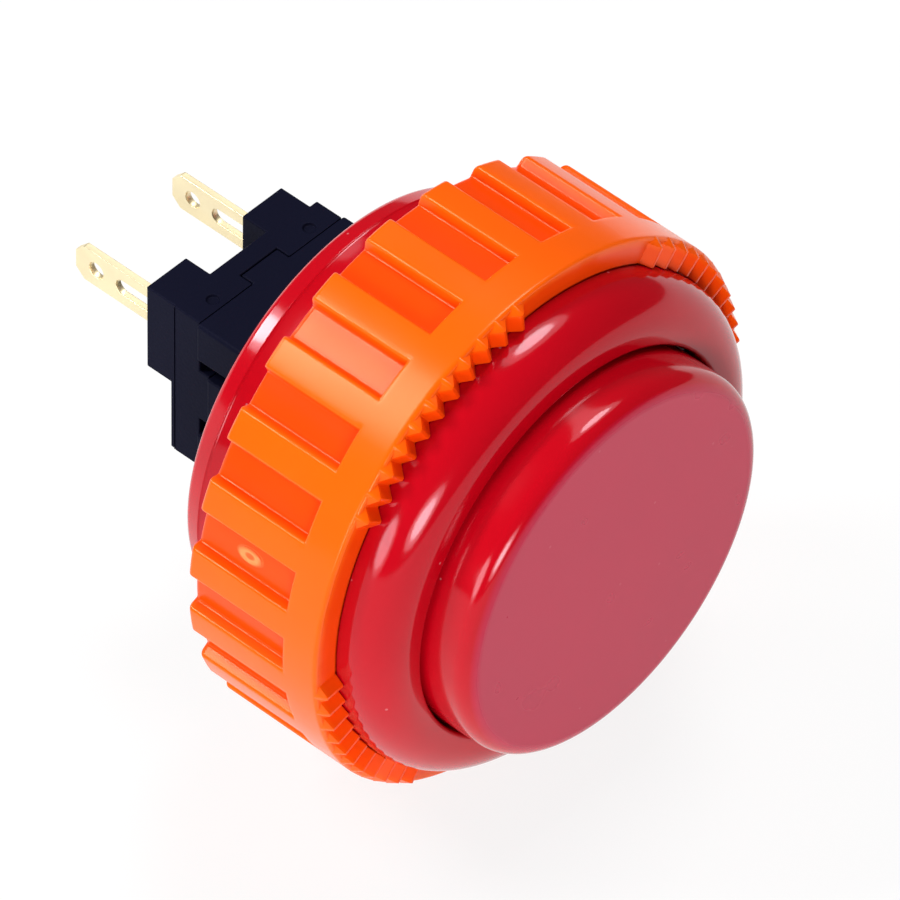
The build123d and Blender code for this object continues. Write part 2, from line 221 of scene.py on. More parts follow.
class SwitchSizes(bpy.types.PropertyGroup):
    """Edge rounds of the switch and its springs."""

    case_round: length("Case round", "Round of the case's edges", 0.14 * MM)
    base_round: length("Base round", "Round of the base's edges", 0.1 * MM)
    pin_round: length("Pin round", "Round of the actuator's edges", 0.12 * MM)
    blade_round: length("Blade round", "Rolled edge of the terminals", 0.06 * MM)
    contact_round: length("Contact round", "Round of the contacts and the bridge", 0.05 * MM)
    return_wire: length("Return wire", "Wire radius of the return spring", 0.16 * MM)
    return_turns: number("Return turns", "Turns of the return spring", 6, 2)
    contact_wire: length("Contact wire", "Wire radius of the contact spring", 0.1 * MM)
    contact_turns: number("Contact turns", "Turns of the contact spring", 4, 2)


class ButtonColours(bpy.types.PropertyGroup):
    """Colours that the finishes start from."""

    red: colour("Red", "Moulded red of housing and plunger", (0.48, 0.001, 0.008))
    # Painted reflection: this cooler, paler red stands in for part of the face's reflection of the pale
    # floor. It is not the colour of rubbing.
    reflection_tinted_face_red: colour("Face red", "Cooler red of the plunger's rubbed face", (0.48, 0.018, 0.075))
    dust: colour("Dust", "Pale dust on the red plastic", (0.63, 0.3, 0.32))
    orange: colour("Orange", "Moulded orange of the lock nut", (0.95, 0.115, 0.002))
    # Painted shade: this darker orange stands in for the shade in the nut's pockets, inward of them and in
    # the gate's pit.
    pocket_shade_orange: colour("Deep orange", "Orange at the bottom of the nut's pockets", (0.9, 0.062, 0.001))
    # Painted highlight: this pale orange stands in for the light on the raised ring of the moulding gate's
    # mark.
    gate_highlight_orange: colour("Gate blush", "Pale orange about the moulding gate's mark", (1.0, 0.5, 0.18))
    black: colour("Black", "Navy black of the switch case", (0.0055, 0.006, 0.017))
    brass: colour("Brass", "Plated brass of the terminals", (0.96, 0.83, 0.54))
    white: colour("White", "Natural white of the actuator", (0.80, 0.79, 0.74))
    steel: colour("Steel", "Spring steel", (0.55, 0.55, 0.56))
    silver: colour("Silver", "Silver of the contacts", (0.86, 0.85, 0.82))
    floor: colour("Floor", "Pale floor", (0.93, 0.93, 0.93))


class StageSizes(bpy.types.PropertyGroup):
    """Place of the camera, which looks down on the button as it lies on its side."""

    heading: angle("Heading", "Turn of the camera from the plunger's axis", 49.41)
    elevation: angle("Elevation", "Height of the camera over the floor", 45.76)
    roll: angle("Roll", "Turn of the picture about the line of sight", 2.0)
    distance: length("Distance", "Distance from the camera to the rim's crest", 676.8 * MM)
    target_height: length("Target height", "Height of the aimed point on the axis", 3.69 * MM)
    target_right: plain("Target right", "Column of the aimed point in the picture", 572.7)
    target_down: plain("Target down", "Row of the aimed point in the picture", 542.0)
    lens: plain("Lens", "Focal length in millimetres", 449.3)
    floor_side: length("Floor side", "Side of the square floor", 8.0)
    floor_glow: share("Floor glow", "Share of plain white in the floor's look", 0.85)
    fill: plain("Fill", "Strength of the light from all round", 0.1)


def add_node(tree, kind, inputs=None, **settings):
    """A shader node whose inputs take plain values or other nodes' outputs."""
    made = tree.nodes.new(kind)
    for key, value in settings.items():
        setattr(made, key, value)
    for key, value in (inputs or {}).items():
        if isinstance(value, bpy.types.NodeSocket):
            tree.links.new(value, made.inputs[key])
        else:
            made.inputs[key].default_value = value
    return made


def emptied(owner):
    """The node tree of a material or a world, with nothing in it."""
    owner.use_nodes = True
    owner.node_tree.nodes.clear()
    return owner.node_tree


def new_finish(name, **constants):
    """An empty node material with a Principled shader and its even values."""
    finish = bpy.data.materials.new(name)
    tree = emptied(finish)
    values = {key.replace("_", " "): value for key, value in constants.items()}
    shader = add_node(tree, "ShaderNodeBsdfPrincipled", values)
    add_node(tree, "ShaderNodeOutputMaterial", {"Surface": shader.outputs[0]})
    return finish, tree, shader


def object_place(tree, stretch=EVEN):
    """Place of each point in the object's own space, stretched along its axes."""
    place = add_node(tree, "ShaderNodeTexCoord")
    inputs = {"Vector": place.outputs["Object"], "Scale": stretch}
    return add_node(tree, "ShaderNodeMapping", inputs).outputs[0]


def speckle(tree, scale, detail=2.0, stretch=EVEN):
    """Noise in the object's own space, with a scale in bumps a metre."""
    inputs = {"Vector": object_place(tree, stretch), "Scale": scale, "Detail": detail}
    return add_node(tree, "ShaderNodeTexNoise", inputs).outputs["Fac"]


def tinted(tree, source, base, low, high):
    """A colour that drifts between a darker and a lighter tone of its base."""
    ramp = add_node(tree, "ShaderNodeValToRGB", {"Fac": source})
    ramp.color_ramp.interpolation = "EASE"
    stops = zip(ramp.color_ramp.elements, (NOISE_LOW, NOISE_HIGH), (low, high))
    for stop, position, level in stops:
        stop.position = position
        stop.color = (*(min(1.0, part * level) for part in base), 1.0)
    return ramp.outputs["Color"]


def stepped(tree, source, start, end, low=0.0, high=1.0, **settings):
    """A value that goes from low to high as its source goes from start to end."""
    inputs = {"Value": source, "From Min": start, "From Max": end, "To Min": low, "To Max": high}
    return add_node(tree, "ShaderNodeMapRange", inputs, **settings).outputs["Result"]


def ranged(tree, source, low, high):
    """A noise value eased into a range."""
    return stepped(tree, source, NOISE_LOW, NOISE_HIGH, low, high, interpolation_type="SMOOTHSTEP")


def raised(tree, shader, height, distance):
    """Fine relief on a shader's normal."""
    bump = add_node(tree, "ShaderNodeBump", {"Height": height, "Distance": distance})
    tree.links.new(bump.outputs["Normal"], shader.inputs["Normal"])


def recoloured(tree, shader, amount, tone):
    """Lays a plain colour over a shader's own, as far as the amount goes."""
    base = shader.inputs["Base Color"]
    inputs = {0: amount, 6: base.links[0].from_socket, 7: (*tone, 1.0)}
    mix = add_node(tree, "ShaderNodeMix", inputs, data_type="RGBA")
    tree.links.new(mix.outputs[2], base)


def maths(tree, operation, one, two):
    """The outcome of an operation on two values."""
    return add_node(tree, "ShaderNodeMath", {0: one, 1: two}, operation=operation).outputs[0]


def mixed(tree, part, below, above):
    """A shader that goes from one to another."""
    inputs = {0: part, 1: below.outputs[0], 2: above.outputs[0]}
    return add_node(tree, "ShaderNodeMixShader", inputs)


def measured(tree, operation, flatten=EVEN, point=(0.0, 0.0, 0.0)):
    """A length or distance of each point in the object's own space."""
    inputs = {0: object_place(tree, flatten), 1: point}
    return add_node(tree, "ShaderNodeVectorMath", inputs, operation=operation).outputs["Value"]


def moulded_finish(name, base, roughness, grain, relief, **constants):
    """Moulded plastic: slight drift of tone, handled patches of gloss and a fine skin."""
    drift_scale, patch_scale = 120.0, 260.0
    darker, lighter = 0.95, 1.04
    glossier, duller = 0.92, 1.1
    finish, tree, shader = new_finish(name, **constants)
    tone = tinted(tree, speckle(tree, drift_scale, detail=3.0), base, darker, lighter)
    gloss = ranged(tree, speckle(tree, patch_scale), roughness * glossier, roughness * duller)
    tree.links.new(tone, shader.inputs["Base Color"])
    tree.links.new(gloss, shader.inputs["Roughness"])
    raised(tree, shader, speckle(tree, grain), relief)
    return finish, tree, shader


def dusted(tree, shader, pale):
    """A few grains of pale dust on a finish."""
    grain_scale, grain_edge, grain_core, cover = 420.0, 0.045, 0.03, 0.4
    inputs = {"Vector": object_place(tree), "Scale": grain_scale}
    away = add_node(tree, "ShaderNodeTexVoronoi", inputs).outputs["Distance"]
    recoloured(tree, shader, stepped(tree, away, grain_edge, grain_core, 0.0, cover), pale)


def housing_finish(base, pale):
    """Polished red plastic with a little dust."""
    finish, tree, shader = moulded_finish(
        "glossy_red", base, roughness=0.1, grain=500.0, relief=0.003 * MM, **RED_SHINE
    )
    dusted(tree, shader, pale)
    return finish


def plunger_finish(base, face, pale):
    """Red plastic whose sides are polished and whose face is satin, with a cooler, paler red painted on the
    face as part of its reflection of the floor.
    """
    top = bpy.context.scene.plunger_sizes.face_height
    satin_start, satin_full = top - 0.3 * MM, top - 0.02 * MM
    added_roughness, face_reflection_share = 0.18, 0.6
    finish, tree, shader = moulded_finish(
        "satin_red", base, roughness=0.1, grain=400.0, relief=0.0015 * MM, **RED_SHINE
    )
    dusted(tree, shader, pale)
    height = measured(tree, "DOT_PRODUCT", point=(0.0, 0.0, 1.0))
    satin = stepped(tree, height, satin_start, satin_full, 0.0, added_roughness)
    roughness = shader.inputs["Roughness"]
    tree.links.new(maths(tree, "ADD", roughness.links[0].from_socket, satin), roughness)
    # Painted reflection: the top of the face takes the cooler, paler red in place of part of its reflection
    # of the floor.
    recoloured(tree, shader, stepped(tree, height, satin_start, satin_full, 0.0, face_reflection_share), face)
    return finish


def pocket_middle(sizes):
    """Height of the middle of the nut's pockets."""
    return (sizes.front - sizes.band + sizes.rear) / 2


def nut_finish(base, painted_recess_shade, pale):
    """Orange plastic with painted shade in and inward of the pockets, and at the moulding gate's mark a
    painted highlight ring round a pit with painted shade.
    """
    sizes = bpy.context.scene.nut_sizes
    finish, tree, shader = moulded_finish(
        "moulded_orange", base, roughness=0.22, grain=3000.0, relief=0.001 * MM, **ORANGE_SHINE
    )
    bottom = sizes.radius - sizes.rib_height
    shade_full_end, open_start = bottom + 0.1 * MM, sizes.radius - 0.15 * MM
    reach = measured(tree, "LENGTH", flatten=(1.0, 1.0, 0.0))
    # Painted shade: the pockets, and all that lies inward of their floors, turn to the darker orange.
    recoloured(tree, shader, stepped(tree, reach, shade_full_end, open_start, 1.0, 0.0), painted_recess_shade)
    turn = math.tau * sizes.gate_pocket / sizes.ribs
    squeeze = 1 / sizes.gate_stretch
    gate = (bottom * math.cos(turn), bottom * math.sin(turn), pocket_middle(sizes) * squeeze)
    from_gate = measured(tree, "DISTANCE", (1.0, 1.0, squeeze), gate)
    # Painted highlight on the gate mark's raised ring, and painted shade in its pit.
    ring, pit = (1.2, 0.7, 0.5, pale), (0.5, 0.3, 0.8, painted_recess_shade)
    for outer, inner, cover, tone in (ring, pit):
        edges = (sizes.gate_radius * outer, sizes.gate_radius * inner)
        recoloured(tree, shader, stepped(tree, from_gate, *edges, 0.0, cover), tone)
    return finish


def metal_finish(name, base, roughness, stretch=EVEN):
    """Rolled metal with draw lines along one direction."""
    line_scale, line_depth = 900.0, 0.004 * MM
    drift_scale, detail = 300.0, 3.0
    darker, lighter = 0.92, 1.05
    glossier, duller = 0.8, 1.25
    finish, tree, shader = new_finish(name, Metallic=0.9)
    lines = speckle(tree, line_scale, detail, stretch)
    tone = tinted(tree, speckle(tree, drift_scale, detail), base, darker, lighter)
    gloss = ranged(tree, lines, roughness * glossier, roughness * duller)
    tree.links.new(tone, shader.inputs["Base Color"])
    tree.links.new(gloss, shader.inputs["Roughness"])
    raised(tree, shader, lines, line_depth)
    return finish


def finishes():
    """The finish for each material slot of the record, made once."""
    if made_finishes:
        return made_finishes
    tones = bpy.context.scene.button_colours
    draw = (1.0, 1.0, 0.04)
    made_finishes.update(
        red_housing=housing_finish(tones.red, tones.dust),
        red_plunger=plunger_finish(tones.red, tones.reflection_tinted_face_red, tones.dust),
        orange_nut=nut_finish(tones.orange, tones.pocket_shade_orange, tones.gate_highlight_orange),
        black_case=moulded_finish(
            "moulded_black",
            tones.black,
            roughness=0.4,
            grain=4000.0,
            relief=0.012 * MM,
            Specular_IOR_Level=0.02,
        )[0],
        white_pin=moulded_finish(
            "moulded_white", tones.white, roughness=0.4, grain=2000.0, relief=0.008 * MM
        )[0],
        tab_brass=metal_finish("rolled_brass", tones.brass, roughness=0.4, stretch=draw),
        spring_steel=metal_finish("drawn_steel", tones.steel, roughness=0.25),
        contact_tip=metal_finish("contact_silver", tones.silver, roughness=0.28),
    )
    return made_finishes


def slot_of(node):
    """The record's material slot of a CAD node."""
    for part in frame["record"]["subparts"]:
        if part["node"] == node:
            return part["material_slot"]
    raise RuntimeError(f"no material slot holds {node}")


def rounded(corners, steps=5):
    """A closed outline through corners of (across, up, round), each turned by an arc of its round."""
    outline = []
    for i, (across, up, size) in enumerate(corners):
        corner = Vector((across, up))
        if not size:
            outline.append(corner)
            continue
        before = (Vector(corners[i - 1][:2]) - corner).normalized()
        after = (Vector(corners[(i + 1) % len(corners)][:2]) - corner).normalized()
        half = before.angle(after) / 2
        middle = corner + (before + after).normalized() * size / math.sin(half)
        spoke = corner + before * size / math.tan(half) - middle
        sweep = math.copysign(math.pi - 2 * half, after.cross(before))
        for k in range(steps + 1):
            outline.append(middle + Matrix.Rotation(sweep * k / steps, 2) @ spoke)
    return outline


def skin(mesh, rings, joined=False):
    """Faces between rings of points; the last ring meets the first, or both ends are capped."""
    rows = [[mesh.verts.new(point) for point in ring] for ring in rings]
    count = len(rows[0])
    pairs = list(zip(rows, rows[1:]))
    if joined:
        pairs.append((rows[-1], rows[0]))
    else:
        mesh.faces.new(rows[0])
        mesh.faces.new(rows[-1])
    for one, two in pairs:
        for i in range(count):
            mesh.faces.new((one[i - 1], one[i], two[i], two[i - 1]))


def spun(outline, turn):
    """An outline of radius and height, set at a turn about Z."""
    return [(r * math.cos(turn), r * math.sin(turn), z) for r, z in outline]


def turned(mesh, outline, steps):
    """A solid turned about Z from a closed outline of radius and height."""
    skin(mesh, [spun(outline, math.tau * k / steps) for k in range(steps)], joined=True)


def box(mesh, x, y, z):
    """A box between two values on each axis."""
    corners = ((0, 0), (1, 0), (1, 1), (0, 1))
    skin(mesh, [[(x[i], y[j], level) for i, j in corners] for level in z])


def evenly(count, start=0.0):
    """Turns about Z with even spaces between them."""
    return [start + math.tau * i / count for i in range(count)]


def copies(build, turns):
    """A mesh with a copy of a shape at each turn about Z."""
    mesh = bmesh.new()
    for turn in turns:
        before = set(mesh.verts)
        build(mesh)
        fresh = [v for v in mesh.verts if v not in before]
        bmesh.ops.rotate(mesh, verts=fresh, matrix=Matrix.Rotation(turn, 3, "Z"))
    return mesh


def new_object(name, mesh):
    """An object of a finished mesh, with doubled points joined and faces turned outwards."""
    bmesh.ops.remove_doubles(mesh, verts=mesh.verts, dist=JOIN_DISTANCE)
    bmesh.ops.recalc_face_normals(mesh, faces=mesh.faces)
    data = bpy.data.meshes.new(name)
    mesh.to_mesh(data)
    mesh.free()
    made = bpy.data.objects.new(name, data)
    bpy.context.scene.collection.objects.link(made)
    return made


def combine(made, operation, *meshes):
    """Adds shapes to an object or cuts them out of it."""
    for mesh in meshes:
        tool = new_object("tool", mesh)
        step = made.modifiers.new("combine", "BOOLEAN")
        step.operation = operation
        step.solver = "EXACT"
        step.object = tool
        bpy.context.view_layer.update()
        shaped = made.evaluated_get(bpy.context.evaluated_depsgraph_get())
        data = bpy.data.meshes.new_from_object(shaped)
        made.modifiers.clear()
        made.data = data
        bpy.data.objects.remove(tool)


def smooth(made):
    """Smooth shading up to the sharp angle, with flat faces kept flat."""
    made.data.shade_smooth()
    made.data.set_sharp_from_angle(angle=SHARP_ANGLE)
    normals = made.modifiers.new("flat faces", "WEIGHTED_NORMAL")
    normals.keep_sharp = True


def dress(made, body, slot, *nodes):
    """Gives a new piece its finish, its body and the CAD nodes that it stands for."""
    made.data.materials.clear()
    made.data.materials.append(finishes()[slot])
    smooth(made)
    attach(made, body)
    if nodes:
        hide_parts(*nodes)
    return made


def dress_node(node, edge_round):
    """Keeps a CAD node, rounds its edges and gives it its finish."""
    piece = frame["nodes"][node]
    piece.data.materials.clear()
    piece.data.materials.append(finishes()[slot_of(node)])
    weld = piece.modifiers.new("join faces", "WELD")
    weld.merge_threshold = 0.001 * MM
    flat = piece.modifiers.new("merge flat faces", "DECIMATE")
    flat.decimate_type = "DISSOLVE"
    flat.angle_limit = math.radians(0.5)
    edges = piece.modifiers.new("round edges", "BEVEL")
    edges.width = edge_round
    edges.segments = 3
    edges.limit_method = "ANGLE"
    edges.angle_limit = math.radians(30)
    edges.use_clamp_overlap = False
    edges.harden_normals = True


def thread_mesh(sizes):
    """The ridge of the thread, which fades out at both ends."""
    top = -sizes.thread_start
    bottom = sizes.barrel_end + sizes.collar_length + sizes.thread_relief
    turns = (top - bottom) / sizes.thread_pitch
    steps_a_turn = 96
    steps = round(turns * steps_a_turn)
    fade = steps_a_turn / 3
    sunk, crest_gap = 0.1 * MM, 0.02 * MM
    root = sizes.barrel_radius - sunk
    depth = sizes.crest_radius - sizes.barrel_radius
    rings = []
    for k in range(steps + 1):
        z = top - sizes.thread_pitch * k / steps_a_turn
        grown = min(1.0, k / fade, (steps - k) / fade)
        crest = sizes.barrel_radius + depth * grown - crest_gap
        outline = (
            (root, z - sizes.thread_foot / 2),
            (crest, z - sizes.thread_tip / 2),
            (crest, z + sizes.thread_tip / 2),
            (root, z + sizes.thread_foot / 2),
        )
        rings.append(spun(outline, math.tau * k / steps_a_turn))
    mesh = bmesh.new()
    skin(mesh, rings)
    return mesh


def housing_outline(sizes):
    """Half section of the housing as radius and height."""
    crown_start = sizes.rim_radius - sizes.rim_crown
    crown_rise = sizes.rim_height - sizes.rim_side
    collar = sizes.barrel_end + sizes.collar_length
    wall_front = sizes.wall_rear + sizes.wall_thickness
    crown_steps = 28
    corners = [
        (0, sizes.wall_rear, 0),
        (0, wall_front, 0),
        (sizes.bore_radius, wall_front, 0),
        (sizes.bore_radius, sizes.rim_height, sizes.lip_round),
    ]
    for k in range(crown_steps):
        turn = math.pi / 2 * (1 - k / crown_steps)
        across = crown_start + sizes.rim_crown * math.cos(turn)
        corners.append((across, sizes.rim_side + crown_rise * math.sin(turn), 0))
    corners += [
        (sizes.rim_radius, sizes.rim_side, 0),
        (sizes.rim_radius, 0, sizes.rim_foot_round),
        (sizes.barrel_radius, 0, 0),
        (sizes.barrel_radius, collar + sizes.thread_relief, 0),
        (sizes.band_radius - sizes.band_fall, collar + sizes.thread_relief - sizes.collar_step, 0),
        (sizes.band_radius, collar + sizes.collar_step, 0),
        (sizes.crest_radius, collar, sizes.collar_round),
        (sizes.crest_radius - sizes.collar_fall, sizes.barrel_end, sizes.rear_round),
        (sizes.bore_radius, sizes.barrel_end, sizes.rear_round / 4),
        (sizes.bore_radius, sizes.wall_rear, 0),
    ]
    return rounded(corners)


class BUTTON_OT_housing(bpy.types.Operator):
    """Turns the housing with its rim, barrel, lead-in and thread"""

    bl_idname = "push_button.housing"
    bl_label = "Housing"

    def execute(self, context):
        sizes = context.scene.housing_sizes
        mesh = bmesh.new()
        turned(mesh, housing_outline(sizes), TURN_STEPS)
        housing = new_object("housing_shell", mesh)
        past = 1.0 * MM
        through = (sizes.wall_rear - past, sizes.wall_rear + sizes.wall_thickness + past)
        half = sizes.opening / 2
        opening = bmesh.new()
        middle = sizes.opening_offset
        box(opening, (-half, half), (middle - half, middle + half), through)
        slot_half = sizes.leg_slot_width / 2
        slot_y = (sizes.leg_slot_inner, sizes.leg_slot_outer)
        slots = copies(lambda m: box(m, (-slot_half, slot_half), slot_y, through), evenly(2))
        combine(housing, "DIFFERENCE", opening, slots)
        dress(housing, "housing", "red_housing", "housing")
        dress(new_object("barrel_thread", thread_mesh(sizes)), "housing", "red_housing")
        return {"FINISHED"}


class BUTTON_OT_plunger(bpy.types.Operator):
    """Turns the plunger's cup and adds its guide ribs, stem, webs and snap legs"""

    bl_idname = "push_button.plunger"
    bl_label = "Plunger"

    def execute(self, context):
        sizes = context.scene.plunger_sizes
        skirt_round, inner_round, stem_round = 0.2 * MM, 0.5 * MM, 0.3 * MM
        edge_steps, stem_steps = 8, 48
        guide_ribs, rib_lift = 8, 0.1 * MM
        inner = sizes.radius - sizes.wall
        plate = sizes.face_height - sizes.face_thickness
        inside = sizes.radius - sizes.wall / 2
        mesh = bmesh.new()
        outline = rounded(
            [
                (0, plate, 0),
                (0, sizes.face_height, 0),
                (sizes.radius - sizes.side_draw, sizes.face_height, sizes.edge_round),
                *self.side(sizes),
                (sizes.radius, sizes.skirt_end, skirt_round),
                (inner, sizes.skirt_end, skirt_round),
                (inner, plate, inner_round),
            ],
            edge_steps,
        )
        turned(mesh, outline, TURN_STEPS)
        plunger = new_object("plunger_cap", mesh)
        rib_half = sizes.rib_width / 2
        rib_z = (sizes.skirt_end + rib_lift, sizes.rib_top)
        ribs = copies(
            lambda m: box(m, (inside, sizes.rib_radius), (-rib_half, rib_half), rib_z),
            evenly(guide_ribs, math.pi / guide_ribs),
        )
        stem_top = plate + sizes.face_thickness / 2
        web_half = sizes.web_width / 2
        web_z = (plate - sizes.web_height, stem_top)
        webs = [
            copies(lambda m: box(m, (0, inside), (-web_half, web_half), web_z), evenly(2, start))
            for start in (math.pi / 4, 3 * math.pi / 4)
        ]
        stem = bmesh.new()
        stem_outline = rounded(
            [
                (0, sizes.stem_end, 0),
                (0, stem_top, 0),
                (sizes.stem_radius, stem_top, 0),
                (sizes.stem_radius, sizes.stem_end, stem_round),
            ]
        )
        turned(stem, stem_outline, stem_steps)
        legs = copies(lambda m: self.leg(m, sizes, stem_top), evenly(2))
        combine(plunger, "UNION", ribs, *webs, stem, legs)
        dress(plunger, "plunger", "red_plunger", "plunger")
        return {"FINISHED"}

    def side(self, sizes):
        """Corners of the side's slight bulge, from the edge's round down to the straight part."""
        steps = 6
        rise = sizes.face_height - sizes.edge_round - sizes.side_start
        for k in range(steps, -1, -1):
            part = k / steps
            yield (sizes.radius - sizes.side_draw * part**2, sizes.side_start + rise * part, 0)

    def leg(self, mesh, sizes, top):
        """A snap leg with its barb."""
        barb = sizes.leg_end + sizes.barb_height
        side = (
            (sizes.leg_inner, top),
            (sizes.leg_outer, top),
            (sizes.leg_outer, barb),
            (sizes.leg_outer + sizes.barb_reach, barb),
            (sizes.leg_outer, sizes.leg_end),
            (sizes.leg_inner, sizes.leg_end),
        )
        half = sizes.leg_width / 2
        skin(mesh, [[(x, y, z) for y, z in side] for x in (-half, half)])


def nut_levels(sizes):
    """Steps down a pocket's rounded wall as distance into the pocket and depth."""
    far = sizes.rib_height * 4
    wall_steps = 4
    corners = [
        (-far, 0, 0),
        (0, 0, sizes.rib_round),
        (sizes.rib_draft, -sizes.rib_height, sizes.pocket_round),
        (far, -sizes.rib_height, 0),
        (0, far, 0),
    ]
    return [(across, -up) for across, up in rounded(corners, wall_steps)[1:-2]]


def nut_columns(sizes, levels):
    """Turn and pocket depth of each line along the nut, over one pitch about a pocket's middle."""
    rib_steps = 3
    pitch = math.tau / sizes.ribs
    mouth = pitch * (1 - sizes.rib_share) / 2
    wall = [(mouth - into / sizes.radius, depth) for into, depth in levels]
    rib = [(pitch / 2 + (wall[0][0] - pitch / 2) * k / rib_steps, 0.0) for k in range(rib_steps)]
    half = rib + wall
    floor = [(half[-1][0] * k / 2, sizes.rib_height) for k in (1, 0, -1)]
    far_half = [(-turn, depth) for turn, depth in reversed(half)]
    return half + floor + far_half[:-1]


def nut_rows(sizes, levels):
    """Height, deepest pocket and inset of each ring over the outside of the nut, from front to rear."""
    round_steps = 6
    quarter = [math.pi / 2 * k / round_steps for k in range(round_steps + 1)]
    rows = []
    for turn in quarter:
        inset = sizes.front_round * (1 - math.sin(turn))
        rows.append((sizes.crown - sizes.front_round * (1 - math.cos(turn)), 0.0, inset))
    start = sizes.front - sizes.band
    edge = 0.12 * MM
    rows.append((rows[-1][0] - edge, 0.0, 0.0))
    rows.append((start + sizes.rib_round + edge, 0.0, 0.0))
    rows += [(start - into, depth, 0.0) for into, depth in levels]
    rows.append((pocket_middle(sizes), sizes.rib_height, 0.0))
    for turn in quarter:
        inset = sizes.rear_round * (1 - math.cos(turn))
        rows.append((sizes.rear + sizes.rear_round * (1 - math.sin(turn)), sizes.rib_height, inset))
    return rows


class BUTTON_OT_lock_nut(bpy.types.Operator):
    """Shapes the lock nut with its rounded ribs, its crown of teeth and the gate's mark"""

    bl_idname = "push_button.lock_nut"
    bl_label = "Lock nut"

    def execute(self, context):
        sizes = context.scene.nut_sizes
        levels = nut_levels(sizes)
        rows = nut_rows(sizes, levels)
        columns = nut_columns(sizes, levels)
        chamfer = sizes.bore_chamfer
        floor_ease = 0.6
        inside = (
            (sizes.bore_radius + chamfer, sizes.rear),
            (sizes.bore_radius, sizes.rear + chamfer),
            (sizes.bore_radius, sizes.front - chamfer),
            (sizes.bore_radius + chamfer, sizes.front),
            (sizes.crown_radius, sizes.front),
            (sizes.crown_radius, sizes.crown - sizes.crown_round),
            (sizes.crown_radius + sizes.crown_round, sizes.crown),
        )
        rings = []
        for rib in range(sizes.ribs):
            for turn, depth in columns:
                section = []
                for z, deepest, inset in rows:
                    pocket = min(depth, deepest)
                    eased = inset * (1 - floor_ease * pocket / sizes.rib_height)
                    section.append((sizes.radius - pocket - eased, z))
                section += inside
                rings.append(spun(section, math.tau * rib / sizes.ribs - turn))
        mesh = bmesh.new()
        skin(mesh, rings, joined=True)
        nut = new_object("lock_nut_ring", mesh)
        combine(nut, "UNION", self.teeth(sizes), self.gate_mark(sizes))
        dress(nut, "nut", "orange_nut", "lock_nut")
        return {"FINISHED"}

    def tooth(self, mesh, sizes):
        """One tooth on the X axis, with a rounded tip and an outer end that slopes down to the ring."""
        tip_steps, end_scale = 4, 0.1
        foot = sizes.tooth_foot / 2
        tip = sizes.tooth_tip / 2
        root = sizes.crown - sizes.tooth_root
        corners = [
            (-foot, root, 0),
            (-foot, sizes.crown, 0),
            (-tip, sizes.tooth_top, sizes.tooth_round),
            (tip, sizes.tooth_top, sizes.tooth_round),
            (foot, sizes.crown, 0),
            (foot, root, 0),
        ]
        outline = rounded(corners, tip_steps)
        chamfer = sizes.tooth_end_chamfer
        ends = (
            (sizes.tooth_inner, 1 - chamfer / (sizes.tooth_top - root)),
            (sizes.tooth_inner + chamfer, 1.0),
            (sizes.tooth_outer - sizes.tooth_slope, 1.0),
            (sizes.tooth_outer, end_scale),
        )
        middle = Vector((0.0, root))
        rings = []
        for x, scale in ends:
            eased = [middle + (point - middle) * scale for point in outline]
            rings.append([(x, y, z) for y, z in eased])
        skin(mesh, rings)

    def teeth(self, sizes):
        """All groups of teeth in one mesh."""
        middle = (sizes.teeth_per_group - 1) / 2
        turns = [
            group_turn + sizes.tooth_pitch * (i - middle)
            for group_turn in evenly(sizes.tooth_groups, sizes.tooth_turn)
            for i in range(sizes.teeth_per_group)
        ]
        return copies(lambda m: self.tooth(m, sizes), turns)

    def gate_mark(self, sizes):
        """The oval mark that the moulding gate left in the middle of one pocket."""
        mesh = bmesh.new()
        mark_steps = 40
        sunk, edge_round = 0.2 * MM, 0.05 * MM
        pit, shoulder = sizes.gate_height * 0.4, sizes.gate_height * 0.5
        pit_radius, crest_radius = sizes.gate_radius * 0.55, sizes.gate_radius * 0.75
        outline = rounded(
            [
                (0, -sunk, 0),
                (0, pit, 0),
                (pit_radius, pit, edge_round),
                (crest_radius, sizes.gate_height, edge_round),
                (sizes.gate_radius, shoulder, edge_round),
                (sizes.gate_radius, -sunk, 0),
            ]
        )
        turned(mesh, outline, mark_steps)
        place = Matrix.Rotation(math.tau * sizes.gate_pocket / sizes.ribs, 4, "Z")
        place @= Matrix.Translation((sizes.radius - sizes.rib_height, 0, pocket_middle(sizes)))
        place @= Matrix.Rotation(math.pi / 2, 4, "Y") @ Matrix.Diagonal((sizes.gate_stretch, 1.0, 1.0, 1.0))
        bmesh.ops.transform(mesh, matrix=place, verts=mesh.verts)
        return mesh


class BUTTON_OT_switch_case(bpy.types.Operator):
    """Rounds and finishes the two halves of the switch case"""

    bl_idname = "push_button.switch_case"
    bl_label = "Switch case"

    def execute(self, context):
        sizes = context.scene.switch_sizes
        dress_node("switch_cover", sizes.case_round)
        dress_node("switch_base", sizes.base_round)
        return {"FINISHED"}


class BUTTON_OT_terminals(bpy.types.Operator):
    """Rolls the edges of the terminals and gives them their plating"""

    bl_idname = "push_button.terminals"
    bl_label = "Terminals"

    def execute(self, context):
        for side in ("right", "left"):
            dress_node(f"terminal_{side}", context.scene.switch_sizes.blade_round)
        return {"FINISHED"}


class BUTTON_OT_contacts(bpy.types.Operator):
    """Finishes the actuator, the contact bridge and the four contacts"""

    bl_idname = "push_button.contacts"
    bl_label = "Actuator and contacts"

    def execute(self, context):
        sizes = context.scene.switch_sizes
        dress_node("switch_actuator", sizes.pin_round)
        dress_node("contact_bridge", sizes.contact_round)
        for side in ("right", "left"):
            dress_node(f"fixed_contact_{side}", sizes.contact_round)
            dress_node(f"moving_contact_{side}", sizes.contact_round)
        return {"FINISHED"}


